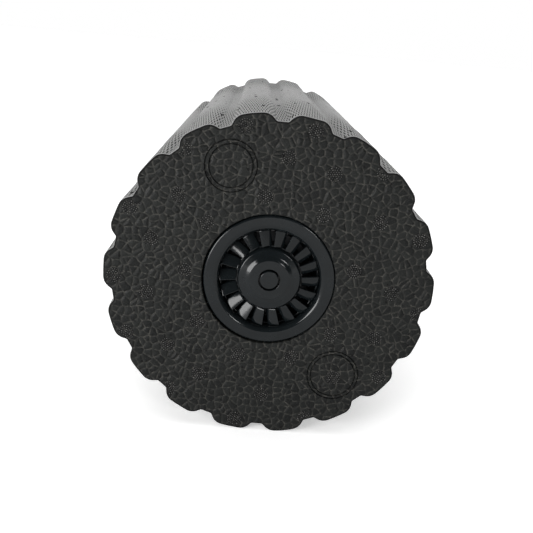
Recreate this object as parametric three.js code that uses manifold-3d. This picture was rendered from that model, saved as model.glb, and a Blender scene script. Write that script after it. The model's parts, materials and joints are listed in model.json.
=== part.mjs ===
// A vibrating foam roller: a lobed bead-foam tube round a split plastic core, which holds a battery,
// a motor with two eccentric weights, a control board behind the push button at the front end, and a
// charging socket at the rear end.
//
// Millimetres, +Z up. The roller's axis runs along Y and its front end, with the button, faces -Y.
// The origin is on the surface that the roller lies on, below its middle. Angles are measured round
// the axis from +X towards +Z, as seen from the front end. "Depth" is the distance inwards from an end.

import * as THREE from "three";
import { mergeVertices } from "three/addons/utils/BufferGeometryUtils.js";
import Module from "manifold-3d";

const wasm = await Module();
wasm.setup();

// ---------------------------------------------------------------- driving dimensions

const GAP = 0.3; // clearance between pieces that touch

// foam body
const BODY_RADIUS = 75;
const BODY_LENGTH = 300;
const LOBES = 18;
const GROOVE_FLOOR_RADIUS = 71.3;
const SHOULDER_FILLET = 6; // radius of a lobe's rounded shoulder
const SHOULDER_ANGLE = 6.8; // degrees from a groove's centre to where its shoulder meets the lobe
const FLANK_ANGLE = 45;

// core: a split tube with ribs and end walls
const CORE_RADIUS = 27;
const CORE_WALL = 2.5;
const CORE_END_DEPTH = 8.6;
const END_WALL_DEPTH = 14;
const END_WALL = 2;
const RIB = 1.4;
const CORE_SEGMENTS = 24;
const CORE_SCREW_OFFSET = 20.5; // each side of the axis
const CORE_SCREW_PLACES = [-95, 36, 122]; // along the axis
const CORE_SCREW_SEAT = 12.6; // below the axis
const CORE_SCREW_TIP = 7; // above the axis
const BOSS_RADIUS = 3.3;
const LEAD_TROUGH_WIDTH = 5;
const LEAD_TROUGH_LOW = 24; // below the axis
const LEAD_TROUGH_HIGH = 18.5;

// end caps
const BEZEL_RADIUS = 29.9;
const BEZEL_BARREL_RADIUS = 24;
const BEZEL_FLANGE_RADIUS = 20;
const CAP_OPENING_RADIUS = 23;
const CAP_FACE_DEPTH = 0.3; // the caps lie this far below the foam's end faces
const CAP_SEGMENTS = 36;
const CAP_SCREW_CIRCLE = 9.5;
const CAP_SCREWS = 3;
const CAP_SCREW_TIP_DEPTH = 19;
const VANES = 18;
const VANE_PHASE = 6.6; // degrees to the first vane's high edge
const VANE_ROOT_RADIUS = 14.8;
const VANE_THICKNESS = 2.2;
const VANE_RING_TOP_DEPTH = 3.5;
const VANE_PLATE = 2.2;
const HUB_RADIUS = 14.5;
const HUB_BARREL_RADIUS = 13;
const HUB_CAVITY_RADIUS = 12.2;
const HUB_TOP_INSIDE_DEPTH = 3.6;
const HUB_BRIM_DEPTH = 4.3;
const HUB_SEGMENTS = 24;
const BUTTON_RADIUS = 4.3;
const BUTTON_BORE_RADIUS = 4.75;
const BUTTON_FLANGE_RADIUS = 6.4;
const BUTTON_STEM_RADIUS = 2.5;
const BUTTON_STEM_DEPTH = 17.5;
const PLUG_RADIUS = 5.1;
const PLUG_BORE_RADIUS = 5.5;
const CENTRE_HOLE_RADIUS = 5.6; // through the vane ring's plate and the core's end wall

// boards
const BOARD_DEPTH = 22.5; // from an end to the board's outward side
const BOARD_THICKNESS = 1.6;
const BOARD_RADIUS = 22.9;
const BOARD_RIB_RADIUS = 21;
const SWITCH_SIZE = 6;
const SWITCH_HEIGHT = 3.5;
const SWITCH_BORE_RADIUS = 2;
const SWITCH_BORE = 2.2;
const SOCKET_RADIUS = 2.9;
const SOCKET_PIN_RADIUS = 1.05;
const SOCKET_FACE_DEPTH = 3.9;
const SOCKET_FLOOR_DEPTH = 13.4;

// motor, at the middle of the roller
const MOTOR_RADIUS = 17.5;
const MOTOR_HALF_LENGTH = 25;
const MOTOR_WALL = 1.5;
const MOTOR_BELL = 2.7; // thickness of the end bell's flange
const MOTOR_BELL_SPIGOT = 3.3;
const SHAFT_RADIUS = 2.5;
const SHAFT_HALF_LENGTH = 45;
const BEARING_RADIUS = 8;
const BEARING_WIDTH = 5;
const MOUNT_RING_RADIUS = 21.2;
const MOUNT_RING_WIDTH = 10.7;
const MOUNT_RING_START = 11.3; // from the motor's middle
const MOUNT_LIP = 2;
const MOUNT_LIP_RADIUS = 19.6;
const TERMINAL_ANGLES = [70, 90, 110];
const TERMINAL_RADIUS = 18;
const TERMINAL_REACH = 2;
const WEIGHT_RADIUS = 16;
const WEIGHT_THICKNESS = 14;
const WEIGHT_START = 29; // from the motor's middle
const WEIGHT_HUB_RADIUS = 6;
const SET_SCREW_RADIUS = 1.6;

// battery: cells side by side
const CELLS = 3;
const CELL_RADIUS = 9.1;
const CELL_LENGTH = 65;
const CELL_START = 49;
const CELL_CIRCLE = 11.3; // radius of the circle through the cells' centres
const CELL_TIP = 0.8;
const CELL_TIP_RADIUS = 3;
const HOLDER_RADIUS = 24;
const HOLDER_REACH = 5; // how far a holder reaches over the cells
const HOLDER_BASE = 3.7;

// leads
const LEAD_RADIUS = 0.8;
const LEAD_STEPS = 10;
const BATTERY_LEAD_Z = -22.7; // from the axis, in the trough under the motor

// ---------------------------------------------------------------- derived dimensions

const HALF_LENGTH = BODY_LENGTH / 2;
const SHOULDER_CENTRE_RADIUS = BODY_RADIUS - SHOULDER_FILLET;
// the roller lies on the two shoulders beside its lowest groove
const AXIS_HEIGHT = SHOULDER_CENTRE_RADIUS * Math.cos(radians(SHOULDER_ANGLE)) + SHOULDER_FILLET;
const CORE_BORE_RADIUS = CORE_RADIUS + GAP;
const RECESS_RADIUS = BEZEL_RADIUS + 0.4;
const CORE_INNER_RADIUS = CORE_RADIUS - CORE_WALL;
const END_WALL_INSIDE = HALF_LENGTH - END_WALL_DEPTH - END_WALL;
const CAP_BOTTOM_DEPTH = END_WALL_DEPTH - GAP;
const BEZEL_FLANGE_DEPTH = CAP_BOTTOM_DEPTH - VANE_PLATE;
const VANE_RING_BOTTOM_DEPTH = BEZEL_FLANGE_DEPTH - GAP;
const VANE_RING_RADIUS = CAP_OPENING_RADIUS - GAP;
const VANE_COLLAR_RADIUS = HUB_BARREL_RADIUS + GAP;
const BOARD_BACK = HALF_LENGTH - BOARD_DEPTH - BOARD_THICKNESS;
const SHAFT_HOLE_RADIUS = SHAFT_RADIUS + GAP;

// ---------------------------------------------------------------- materials

const FOAM = material("#2b2c2c", 0.9, 0);
const GLOSS_BLACK = material("#17191b", 0.22, 0);
const MATTE_BLACK = material("#232426", 0.6, 0);
const CORE_PLASTIC = material("#3a3c3e", 0.65, 0);
const STEEL = material("#b9bcc0", 0.35, 1);
const DARK_STEEL = material("#6d7074", 0.4, 1);
const COPPER = material("#b4693a", 0.4, 1);
const MAGNET = material("#55585c", 0.5, 1);
const RUBBER = material("#1c1c1d", 0.8, 0);
const BOARD_GREEN = material("#1f5a3a", 0.5, 0);
const CELL_WRAP = material("#2f6ea8", 0.35, 0);
const RED_LEAD = material("#a32420", 0.5, 0);
const BLACK_LEAD = material("#1a1a1a", 0.5, 0);

function material(color, roughness, metalness) {
  return new THREE.MeshStandardMaterial({ color, roughness, metalness });
}

// ---------------------------------------------------------------- helpers

function radians(degrees) {
  return THREE.MathUtils.degToRad(degrees);
}

function point(x, y) {
  return new THREE.Vector2(x, y);
}

// A point at a radius and an angle round the axis.
function around(radius, degrees) {
  return point(radius * Math.cos(radians(degrees)), radius * Math.sin(radians(degrees)));
}

// Evenly spaced places round the axis.
function circleOf(count, radius, first) {
  return Array.from({ length: count }, (_, i) => around(radius, first + (i * 360) / count));
}

// Points along an arc, in degrees, both ends included.
function arc(centreX, centreY, radius, from, to, steps) {
  return Array.from({ length: steps + 1 }, (_, i) =>
    around(radius, from + ((to - from) * i) / steps).add(point(centreX, centreY)),
  );
}

// A ring turned round Y from a profile of (radius, y) points that closes on itself.
function ring(profile, segments) {
  return new THREE.LatheGeometry([...profile, profile[0]], segments);
}

// A tube between two radii and two places along Y.
function tube(inner, outer, start, end, segments) {
  const profile = [point(inner, start), point(outer, start), point(outer, end), point(inner, end)];
  return ring(profile, segments);
}

// A round bar along Y.
function bar(radius, start, end, segments) {
  const geometry = new THREE.CylinderGeometry(radius, radius, end - start, segments);
  return geometry.translate(0, (start + end) / 2, 0);
}

// A round post along Z.
function post(radius, x, y, low, high, segments) {
  const geometry = new THREE.CylinderGeometry(radius, radius, high - low, segments);
  return geometry.rotateX(Math.PI / 2).translate(x, y, (low + high) / 2);
}

// A block given by its lowest and highest corners.
function block(low, high) {
  const size = high.map((value, i) => value - low[i]);
  const middle = high.map((value, i) => (value + low[i]) / 2);
  return new THREE.BoxGeometry(...size).translate(...middle);
}

// A shape drawn in X and Z, as seen from the front end, extruded along Y.
function alongY(shape, start, end, curveSegments) {
  const settings = { depth: end - start, bevelEnabled: false, curveSegments };
  return new THREE.ExtrudeGeometry(shape, settings).rotateX(Math.PI / 2).translate(0, end, 0);
}

// The geometry as a solid for cutting and joining.
function solid(geometry) {
  const bare = geometry.clone();
  bare.deleteAttribute("normal");
  bare.deleteAttribute("uv");
  const merged = mergeVertices(bare, 1e-4);
  return new wasm.Manifold(
    new wasm.Mesh({
      numProp: 3,
      vertProperties: merged.attributes.position.array,
      triVerts: new Uint32Array(merged.index.array),
    }),
  );
}

function geometryOf(manifold) {
  const mesh = manifold.getMesh();
  const geometry = new THREE.BufferGeometry();
  geometry.setAttribute("position", new THREE.BufferAttribute(mesh.vertProperties, 3));
  geometry.setIndex(new THREE.BufferAttribute(mesh.triVerts, 1));
  geometry.computeVertexNormals();
  return geometry;
}

function union(geometries) {
  return geometries.map(solid).reduce((whole, next) => whole.add(next));
}

function cut(geometry, ...tools) {
  return geometryOf(solid(geometry).subtract(union(tools)));
}

function part(name, geometry, look) {
  const mesh = new THREE.Mesh(geometry, look);
  mesh.name = name;
  return mesh;
}

// A front-end geometry, and the same one at the rear end.
function atBothEnds(geometry) {
  return [geometry, geometry.clone().rotateZ(Math.PI)];
}

// ---------------------------------------------------------------- foam body

// One groove and the top of the lobe after it. It is drawn with the groove's middle straight up and
// then turned to its angle.
function grooveOutline(degrees) {
  const shoulderCentre = around(SHOULDER_CENTRE_RADIUS, 90 - SHOULDER_ANGLE);
  const shoulder = [-SHOULDER_ANGLE, 0, 15, 30, FLANK_ANGLE].map((lean) =>
    around(SHOULDER_FILLET, 90 + lean).add(shoulderCentre),
  );
  const flankTop = shoulder.at(-1);
  const drop = flankTop.y - GROOVE_FLOOR_RADIUS;
  const flankFoot = point(flankTop.x - drop / Math.tan(radians(FLANK_ANGLE)), GROOVE_FLOOR_RADIUS);
  const rightSide = [...shoulder, flankFoot];
  const leftSide = rightSide.map((p) => point(-p.x, p.y)).reverse();
  const turned = [...rightSide, ...leftSide].map((p) =>
    p.rotateAround(point(0, 0), radians(degrees - 90)),
  );
  return [...turned, around(BODY_RADIUS, degrees + 180 / LOBES)];
}

function foamBody() {
  const beyond = 5;
  const outline = [];
  for (let i = 0; i < LOBES; i += 1) {
    outline.push(...grooveOutline(-90 + (i * 360) / LOBES));
  }
  const blank = alongY(new THREE.Shape(outline), -HALF_LENGTH, HALF_LENGTH, 1);
  const bore = bar(CORE_BORE_RADIUS, -HALF_LENGTH, HALF_LENGTH, CORE_SEGMENTS);
  const recess = bar(RECESS_RADIUS, -HALF_LENGTH - beyond, CORE_END_DEPTH - HALF_LENGTH, CAP_SEGMENTS);
  return part("foam_body", cut(blank, bore, ...atBothEnds(recess)), FOAM);
}

// ---------------------------------------------------------------- core

// A rib that stands in from the core's wall, followed from its far side to its near side.
function ribProfile(near, far, radius) {
  return [
    point(CORE_INNER_RADIUS, far),
    point(radius, far),
    point(radius, near),
    point(CORE_INNER_RADIUS, near),
  ];
}

// The rear end of the core: its rim, its end wall and the two ribs that hold a board.
function coreEndProfile() {
  const rim = HALF_LENGTH - CORE_END_DEPTH;
  const wall = HALF_LENGTH - END_WALL_DEPTH;
  const slotOuter = HALF_LENGTH - BOARD_DEPTH + GAP;
  const slotInner = BOARD_BACK - GAP;
  return [
    point(CORE_RADIUS, rim),
    point(CORE_INNER_RADIUS, rim),
    ...ribProfile(wall - END_WALL, wall, CENTRE_HOLE_RADIUS),
    ...ribProfile(slotOuter, slotOuter + RIB, BOARD_RIB_RADIUS),
    ...ribProfile(slotInner - RIB, slotInner, BOARD_RIB_RADIUS),
  ];
}

// The bed of the motor's rear mounting ring, with a lip that keeps the ring from sliding out.
function motorBedProfile() {
  const bedStart = MOUNT_RING_START - GAP;
  const bedEnd = MOUNT_RING_START + MOUNT_RING_WIDTH + GAP;
  return [
    point(CORE_INNER_RADIUS, bedEnd + MOUNT_LIP),
    point(MOUNT_LIP_RADIUS, bedEnd + MOUNT_LIP),
    point(MOUNT_LIP_RADIUS, bedEnd),
    point(MOUNT_RING_RADIUS + GAP, bedEnd),
    point(MOUNT_RING_RADIUS + GAP, bedStart),
    point(CORE_INNER_RADIUS, bedStart),
  ];
}

function coreProfile() {
  const holderEnd = CELL_START + CELL_LENGTH + HOLDER_BASE + GAP;
  const holderStart = CELL_START - HOLDER_BASE - GAP;
  const symmetric = [coreEndProfile(), motorBedProfile()].map((profile) =>
    profile.map((p) => point(p.x, -p.y)).reverse(),
  );
  return [
    ...coreEndProfile(),
    ...ribProfile(holderEnd, holderEnd + RIB, BOARD_RIB_RADIUS),
    ...ribProfile(holderStart - RIB, holderStart, BOARD_RIB_RADIUS),
    ...motorBedProfile(),
    ...symmetric[1],
    ...symmetric[0],
  ];
}

function coreScrewPlaces() {
  return CORE_SCREW_PLACES.flatMap((y) => [-1, 1].map((side) => point(side * CORE_SCREW_OFFSET, y)));
}

function coreShell() {
  const bossReach = 14.5;
  const capBoss = 4;
  const screwHole = 1.5;
  const headHole = 2.3;
  const bosses = coreScrewPlaces().map((p) => post(BOSS_RADIUS, p.x, p.y, -bossReach, bossReach, 8));
  const inside = solid(bar(CORE_RADIUS - 1, -HALF_LENGTH, HALF_LENGTH, CORE_SEGMENTS));
  const trough = block(
    [-LEAD_TROUGH_WIDTH / 2, -BOARD_BACK - 8, -LEAD_TROUGH_LOW],
    [LEAD_TROUGH_WIDTH / 2, BOARD_BACK + 8, -LEAD_TROUGH_HIGH],
  );
  const holes = [trough];
  for (const p of coreScrewPlaces()) {
    holes.push(post(screwHole, p.x, p.y, -2 * CORE_SCREW_SEAT, CORE_SCREW_TIP + GAP, 6));
    holes.push(post(headHole, p.x, p.y, -2 * CORE_SCREW_SEAT, -CORE_SCREW_SEAT, 8));
  }
  const capBosses = [];
  for (const p of circleOf(CAP_SCREWS, CAP_SCREW_CIRCLE, 90)) {
    const boss = bar(3, -END_WALL_INSIDE - 1, capBoss - END_WALL_INSIDE, 8).translate(p.x, 0, p.y);
    const pilot = bar(screwHole, -HALF_LENGTH, 1 + capBoss - END_WALL_INSIDE, 6).translate(p.x, 0, p.y);
    capBosses.push(...atBothEnds(boss));
    holes.push(...atBothEnds(pilot));
  }
  return solid(ring(coreProfile(), CORE_SEGMENTS))
    .add(union(bosses).intersect(inside))
    .add(union(capBosses))
    .subtract(union(holes));
}

function coreHalves() {
  const whole = coreShell();
  const reach = CORE_RADIUS + 1;
  const upper = block([-reach, -HALF_LENGTH, GAP / 2], [reach, HALF_LENGTH, reach]);
  const lower = block([-reach, -HALF_LENGTH, -reach], [reach, HALF_LENGTH, -GAP / 2]);
  return [
    part("core_shell_upper", geometryOf(whole.intersect(solid(upper))), CORE_PLASTIC),
    part("core_shell_lower", geometryOf(whole.intersect(solid(lower))), CORE_PLASTIC),
  ];
}

// A pan-head screw along Y, with its head's foot at the start and its tip at the end.
function screwGeometry(start, end, headRadius, head, shankRadius) {
  const taper = 1.2;
  const profile = [
    point(0, start),
    point(headRadius * 0.7, start),
    point(headRadius, start + head / 2),
    point(headRadius, start + head),
    point(shankRadius, start + head),
    point(shankRadius, end - taper),
    point(0, end),
  ];
  return new THREE.LatheGeometry(profile, 8);
}

function coreScrews() {
  const headRadius = 2;
  const head = 1.6;
  const start = -CORE_SCREW_SEAT - GAP - head;
  return coreScrewPlaces().map((place, i) => {
    const geometry = screwGeometry(start, CORE_SCREW_TIP, headRadius, head, 1.2);
    const screw = part("core_shell_screw_" + (i + 1), geometry, DARK_STEEL);
    screw.rotation.x = Math.PI / 2;
    screw.position.set(place.x, place.y, 0);
    return screw;
  });
}

// ---------------------------------------------------------------- end caps
// Drawn at the front end, with Y as the depth. Each cap's group puts it at its own end.

function bezel(side) {
  const lip = 2.5;
  const edge = 1.4;
  const top = CAP_FACE_DEPTH;
  const bottom = CORE_END_DEPTH - GAP;
  const profile = [
    ...arc(CAP_OPENING_RADIUS + lip, top + lip, lip, 180, 270, 3),
    ...arc(BEZEL_RADIUS - edge, top + edge, edge, 270, 360, 2),
    point(BEZEL_RADIUS, bottom),
    point(BEZEL_BARREL_RADIUS, bottom),
    point(BEZEL_BARREL_RADIUS, CAP_BOTTOM_DEPTH),
    point(BEZEL_FLANGE_RADIUS, CAP_BOTTOM_DEPTH),
    point(BEZEL_FLANGE_RADIUS, BEZEL_FLANGE_DEPTH),
    point(CAP_OPENING_RADIUS, BEZEL_FLANGE_DEPTH),
  ];
  return part(side + "_bezel", ring(profile, CAP_SEGMENTS), GLOSS_BLACK);
}

// One slanted blade. Its high edge is radial, and it falls away clockwise, gently at the root and
// steeply at the tip.
function vaneBlade(degrees) {
  const tipRadius = VANE_RING_RADIUS - 0.35;
  const root = { span: 15, high: 2.4, low: 3.2 };
  const tip = { span: 10, high: 3, low: 8.4 };
  const geometry = new THREE.BoxGeometry(1, 1, 1);
  const places = geometry.attributes.position;
  const mix = THREE.MathUtils.lerp;
  for (let i = 0; i < places.count; i += 1) {
    const outward = places.getX(i) + 0.5;
    const below = places.getY(i) + 0.5;
    const fall = 0.5 - places.getZ(i);
    const angle = degrees - fall * mix(root.span, tip.span, outward);
    const top = mix(mix(root.high, tip.high, outward), mix(root.low, tip.low, outward), fall);
    const place = around(mix(VANE_ROOT_RADIUS, tipRadius, outward), angle);
    places.setXYZ(i, place.x, top + below * VANE_THICKNESS, place.y);
  }
  return geometry;
}

function vaneRing(side) {
  const collarTop = HUB_BRIM_DEPTH + GAP;
  const rim = tube(22, VANE_RING_RADIUS, VANE_RING_TOP_DEPTH, VANE_RING_BOTTOM_DEPTH, CAP_SEGMENTS);
  const collarProfile = [
    point(VANE_COLLAR_RADIUS, collarTop),
    point(VANE_ROOT_RADIUS + 0.5, collarTop),
    point(VANE_ROOT_RADIUS + 0.5, CAP_BOTTOM_DEPTH),
    point(CENTRE_HOLE_RADIUS, CAP_BOTTOM_DEPTH),
    point(CENTRE_HOLE_RADIUS, BEZEL_FLANGE_DEPTH),
    point(VANE_COLLAR_RADIUS, BEZEL_FLANGE_DEPTH),
  ];
  const blades = Array.from({ length: VANES }, (_, i) => vaneBlade(VANE_PHASE + (i * 360) / VANES));
  const holes = circleOf(CAP_SCREWS, CAP_SCREW_CIRCLE, 90).map((p) =>
    bar(1.5, BEZEL_FLANGE_DEPTH - 1, CAP_BOTTOM_DEPTH + 1, 6).translate(p.x, 0, p.y),
  );
  const whole = union([rim, ring(collarProfile, HUB_SEGMENTS), ...blades]).subtract(union(holes));
  return part(side + "_vane_ring", geometryOf(whole), GLOSS_BLACK);
}

// A stepped dome with a hole in the middle, on a barrel that snaps into the vane ring's collar.
function hub(side, boreRadius) {
  const barrelEnd = BEZEL_FLANGE_DEPTH - GAP;
  const profile = [
    point(boreRadius, CAP_FACE_DEPTH),
    point(9, CAP_FACE_DEPTH),
    point(9.8, 0.6),
    point(10.3, 1.2),
    point(11.3, 1.65),
    point(13.9, 2.2),
    point(HUB_RADIUS, 2.8),
    point(HUB_RADIUS, HUB_BRIM_DEPTH),
    point(HUB_BARREL_RADIUS, HUB_BRIM_DEPTH),
    point(HUB_BARREL_RADIUS, barrelEnd),
    point(HUB_CAVITY_RADIUS, barrelEnd),
    point(HUB_CAVITY_RADIUS, HUB_TOP_INSIDE_DEPTH),
    point(boreRadius, HUB_TOP_INSIDE_DEPTH),
  ];
  return part(side + "_hub", ring(profile, HUB_SEGMENTS), GLOSS_BLACK);
}

function capScrews(side) {
  const headRadius = 2.2;
  const head = 1.5;
  const start = BEZEL_FLANGE_DEPTH - GAP - head;
  return circleOf(CAP_SCREWS, CAP_SCREW_CIRCLE, 90).map((place, i) => {
    const geometry = screwGeometry(start, CAP_SCREW_TIP_DEPTH, headRadius, head, 1.2);
    const screw = part(side + "_cap_screw_" + (i + 1), geometry, DARK_STEEL);
    screw.position.set(place.x, 0, place.y);
    return screw;
  });
}

function powerButton() {
  const face = 0.15;
  const flange = HUB_TOP_INSIDE_DEPTH + GAP;
  const profile = [
    point(0, face),
    point(BUTTON_RADIUS - 0.4, face),
    point(BUTTON_RADIUS, face + 0.4),
    point(BUTTON_RADIUS, flange),
    point(BUTTON_FLANGE_RADIUS, flange),
    point(BUTTON_FLANGE_RADIUS, flange + 1.2),
    point(BUTTON_STEM_RADIUS, flange + 1.2),
    point(BUTTON_STEM_RADIUS, BUTTON_STEM_DEPTH),
    point(0, BUTTON_STEM_DEPTH),
  ];
  return part("power_button", new THREE.LatheGeometry(profile, 16), GLOSS_BLACK);
}

function switchPlunger() {
  const start = BUTTON_STEM_DEPTH + GAP;
  return part("switch_plunger", bar(SWITCH_BORE_RADIUS - GAP, start, start + 1.9, 12), MATTE_BLACK);
}

function switchBody() {
  const half = SWITCH_SIZE / 2;
  const back = BOARD_DEPTH - GAP;
  const front = back - SWITCH_HEIGHT;
  const housing = block([-half, front, -half], [half, back, half]);
  const bore = bar(SWITCH_BORE_RADIUS, front - 1, front + SWITCH_BORE, 12);
  return part("switch_body", cut(housing, bore), MATTE_BLACK);
}

function chargeSocket() {
  const body = PLUG_RADIUS + 0.1;
  const profile = [
    point(0, SOCKET_FACE_DEPTH + 1),
    point(SOCKET_PIN_RADIUS, SOCKET_FACE_DEPTH + 1),
    point(SOCKET_PIN_RADIUS, SOCKET_FLOOR_DEPTH),
    point(SOCKET_RADIUS, SOCKET_FLOOR_DEPTH),
    point(SOCKET_RADIUS, SOCKET_FACE_DEPTH),
    point(body, SOCKET_FACE_DEPTH),
    point(body, BOARD_DEPTH - GAP),
    point(0, BOARD_DEPTH - GAP),
  ];
  return part("charge_socket", new THREE.LatheGeometry(profile, 16), MATTE_BLACK);
}

// The rubber plug that closes the charging socket: a flush head and a hollow spigot round the pin.
function chargePortPlug() {
  const headEnd = SOCKET_FACE_DEPTH - GAP;
  const spigotEnd = 8.5;
  const spigotRadius = SOCKET_RADIUS - GAP;
  const hollowRadius = SOCKET_PIN_RADIUS + 0.4;
  const profile = [
    point(0, CAP_FACE_DEPTH),
    point(PLUG_RADIUS - 0.5, CAP_FACE_DEPTH),
    point(PLUG_RADIUS, CAP_FACE_DEPTH + 0.5),
    point(PLUG_RADIUS, headEnd),
    point(spigotRadius, headEnd),
    point(spigotRadius, spigotEnd),
    point(hollowRadius, spigotEnd),
    point(hollowRadius, headEnd + GAP),
    point(0, headEnd + GAP),
  ];
  return part("charge_port_plug", new THREE.LatheGeometry(profile, 16), RUBBER);
}

function board(name) {
  return part(name, bar(BOARD_RADIUS, BOARD_DEPTH, BOARD_DEPTH + BOARD_THICKNESS, CORE_SEGMENTS), BOARD_GREEN);
}

function driverChip() {
  const front = BOARD_DEPTH + BOARD_THICKNESS + GAP;
  return part("driver_chip", block([-14, front, -6], [-6, front + 1.2, 2]), MATTE_BLACK);
}

function frontEnd() {
  const end = new THREE.Group();
  end.add(bezel("front"), vaneRing("front"), hub("front", BUTTON_BORE_RADIUS), ...capScrews("front"));
  end.add(powerButton(), switchPlunger(), switchBody(), board("control_board"), driverChip());
  end.position.y = -HALF_LENGTH;
  return end;
}

function rearEnd() {
  const end = new THREE.Group();
  end.add(bezel("rear"), vaneRing("rear"), hub("rear", PLUG_BORE_RADIUS), ...capScrews("rear"));
  end.add(chargePortPlug(), chargeSocket(), board("charge_board"));
  end.position.y = HALF_LENGTH;
  end.rotation.z = Math.PI;
  return end;
}

// ---------------------------------------------------------------- motor

function motorCan() {
  const inner = MOTOR_RADIUS - MOTOR_WALL;
  const open = MOTOR_BELL + GAP - MOTOR_HALF_LENGTH;
  const seat = BEARING_RADIUS + GAP;
  const seatStart = MOTOR_HALF_LENGTH - BEARING_WIDTH - 0.5;
  const profile = [
    point(inner, open),
    point(MOTOR_RADIUS, open),
    point(MOTOR_RADIUS, MOTOR_HALF_LENGTH),
    point(seat, MOTOR_HALF_LENGTH),
    point(seat, seatStart),
    point(seat + MOTOR_WALL, seatStart),
    point(seat + MOTOR_WALL, MOTOR_HALF_LENGTH - MOTOR_WALL),
    point(inner, MOTOR_HALF_LENGTH - MOTOR_WALL),
  ];
  return part("motor_can", ring(profile, CORE_SEGMENTS), STEEL);
}

function terminal(degrees) {
  const end = -MOTOR_HALF_LENGTH + MOTOR_BELL / 2;
  const tab = block([-1, -MOTOR_HALF_LENGTH - TERMINAL_REACH, -1.4], [1, end, 1.2]);
  return tab.translate(0, 0, TERMINAL_RADIUS).rotateY(radians(90 - degrees));
}

function motorEndBell() {
  const flangeEnd = MOTOR_BELL - MOTOR_HALF_LENGTH;
  const spigotRadius = MOTOR_RADIUS - MOTOR_WALL - GAP;
  const spigotEnd = flangeEnd + MOTOR_BELL_SPIGOT;
  const profile = [
    point(BEARING_RADIUS + GAP, -MOTOR_HALF_LENGTH),
    point(MOTOR_RADIUS, -MOTOR_HALF_LENGTH),
    point(MOTOR_RADIUS, flangeEnd),
    point(spigotRadius, flangeEnd),
    point(spigotRadius, spigotEnd),
    point(BEARING_RADIUS + GAP, spigotEnd),
  ];
  const whole = union([ring(profile, CORE_SEGMENTS), ...TERMINAL_ANGLES.map(terminal)]);
  return part("motor_end_bell", geometryOf(whole), MATTE_BLACK);
}

function motorStator() {
  const outer = MOTOR_RADIUS - MOTOR_WALL - GAP;
  const core = 12;
  const winding = 16;
  const profile = [
    point(11, -core),
    point(11.8, -winding),
    point(14.6, -winding),
    point(outer, -core),
    point(outer, core),
    point(14.6, winding),
    point(11.8, winding),
    point(11, core),
  ];
  return part("motor_stator", ring(profile, CORE_SEGMENTS), COPPER);
}

function bearing(side, start) {
  const geometry = tube(SHAFT_HOLE_RADIUS, BEARING_RADIUS, start, start + BEARING_WIDTH, 16);
  return part("motor_bearing_" + side, geometry, STEEL);
}

function mountRing(side, start) {
  const inner = MOTOR_RADIUS + GAP;
  const geometry = tube(inner, MOUNT_RING_RADIUS, start, start + MOUNT_RING_WIDTH, CORE_SEGMENTS);
  return part("motor_mount_ring_" + side, geometry, RUBBER);
}

// A half disc on a hub, which hangs below the shaft. Its set screw's hole is on the light side.
function eccentricWeight(side, start) {
  const outline = new THREE.Shape();
  outline.absarc(0, 0, WEIGHT_RADIUS, Math.PI, 2 * Math.PI);
  outline.absarc(0, 0, WEIGHT_HUB_RADIUS, 0, Math.PI);
  outline.closePath();
  outline.holes.push(new THREE.Path().absarc(0, 0, SHAFT_HOLE_RADIUS, 0, 2 * Math.PI));
  const blank = alongY(outline, start, start + WEIGHT_THICKNESS, 8);
  const middle = start + WEIGHT_THICKNESS / 2;
  const hole = post(SET_SCREW_RADIUS + GAP, 0, middle, 1, WEIGHT_HUB_RADIUS + 2, 12);
  return part("eccentric_weight_" + side, cut(blank, hole), DARK_STEEL);
}

function setScrew(side, y) {
  const geometry = post(SET_SCREW_RADIUS, 0, y, SHAFT_HOLE_RADIUS, WEIGHT_HUB_RADIUS - 0.1, 12);
  return part("weight_set_screw_" + side, geometry, STEEL);
}

function motor() {
  const assembly = new THREE.Group();
  const weightEnd = WEIGHT_START + WEIGHT_THICKNESS;
  const weightMiddle = WEIGHT_START + WEIGHT_THICKNESS / 2;
  assembly.add(motorCan(), motorEndBell(), motorStator());
  assembly.add(bearing("front", -MOTOR_HALF_LENGTH), bearing("rear", MOTOR_HALF_LENGTH - BEARING_WIDTH));
  assembly.add(mountRing("front", -MOUNT_RING_START - MOUNT_RING_WIDTH), mountRing("rear", MOUNT_RING_START));
  assembly.add(part("motor_shaft", bar(SHAFT_RADIUS, -SHAFT_HALF_LENGTH, SHAFT_HALF_LENGTH, 12), STEEL));
  assembly.add(part("rotor_magnet", tube(SHAFT_HOLE_RADIUS, 10.5, -13, 13, 20), MAGNET));
  assembly.add(eccentricWeight("front", -weightEnd), eccentricWeight("rear", WEIGHT_START));
  assembly.add(setScrew("front", -weightMiddle), setScrew("rear", weightMiddle));
  return assembly;
}

// ---------------------------------------------------------------- battery

function cell(place, index) {
  const start = CELL_START;
  const shoulder = CELL_START + CELL_LENGTH - CELL_TIP;
  const profile = [
    point(0, start),
    point(CELL_RADIUS, start),
    point(CELL_RADIUS, shoulder),
    point(CELL_TIP_RADIUS, shoulder),
    point(CELL_TIP_RADIUS, shoulder + CELL_TIP),
    point(0, shoulder + CELL_TIP),
  ];
  const mesh = part("battery_cell_" + (index + 1), new THREE.LatheGeometry(profile, 18), CELL_WRAP);
  mesh.position.set(place.x, 0, place.y);
  return mesh;
}

function cellHolder(side, start, pocketStart) {
  const end = start + HOLDER_BASE + HOLDER_REACH;
  const depth = HOLDER_REACH + GAP;
  const pockets = circleOf(CELLS, CELL_CIRCLE, 90).map((p) =>
    bar(CELL_RADIUS + GAP, pocketStart, pocketStart + depth + 1, 18).translate(p.x, 0, p.y),
  );
  return part("cell_holder_" + side, cut(bar(HOLDER_RADIUS, start, end, CORE_SEGMENTS), ...pockets), MATTE_BLACK);
}

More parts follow.
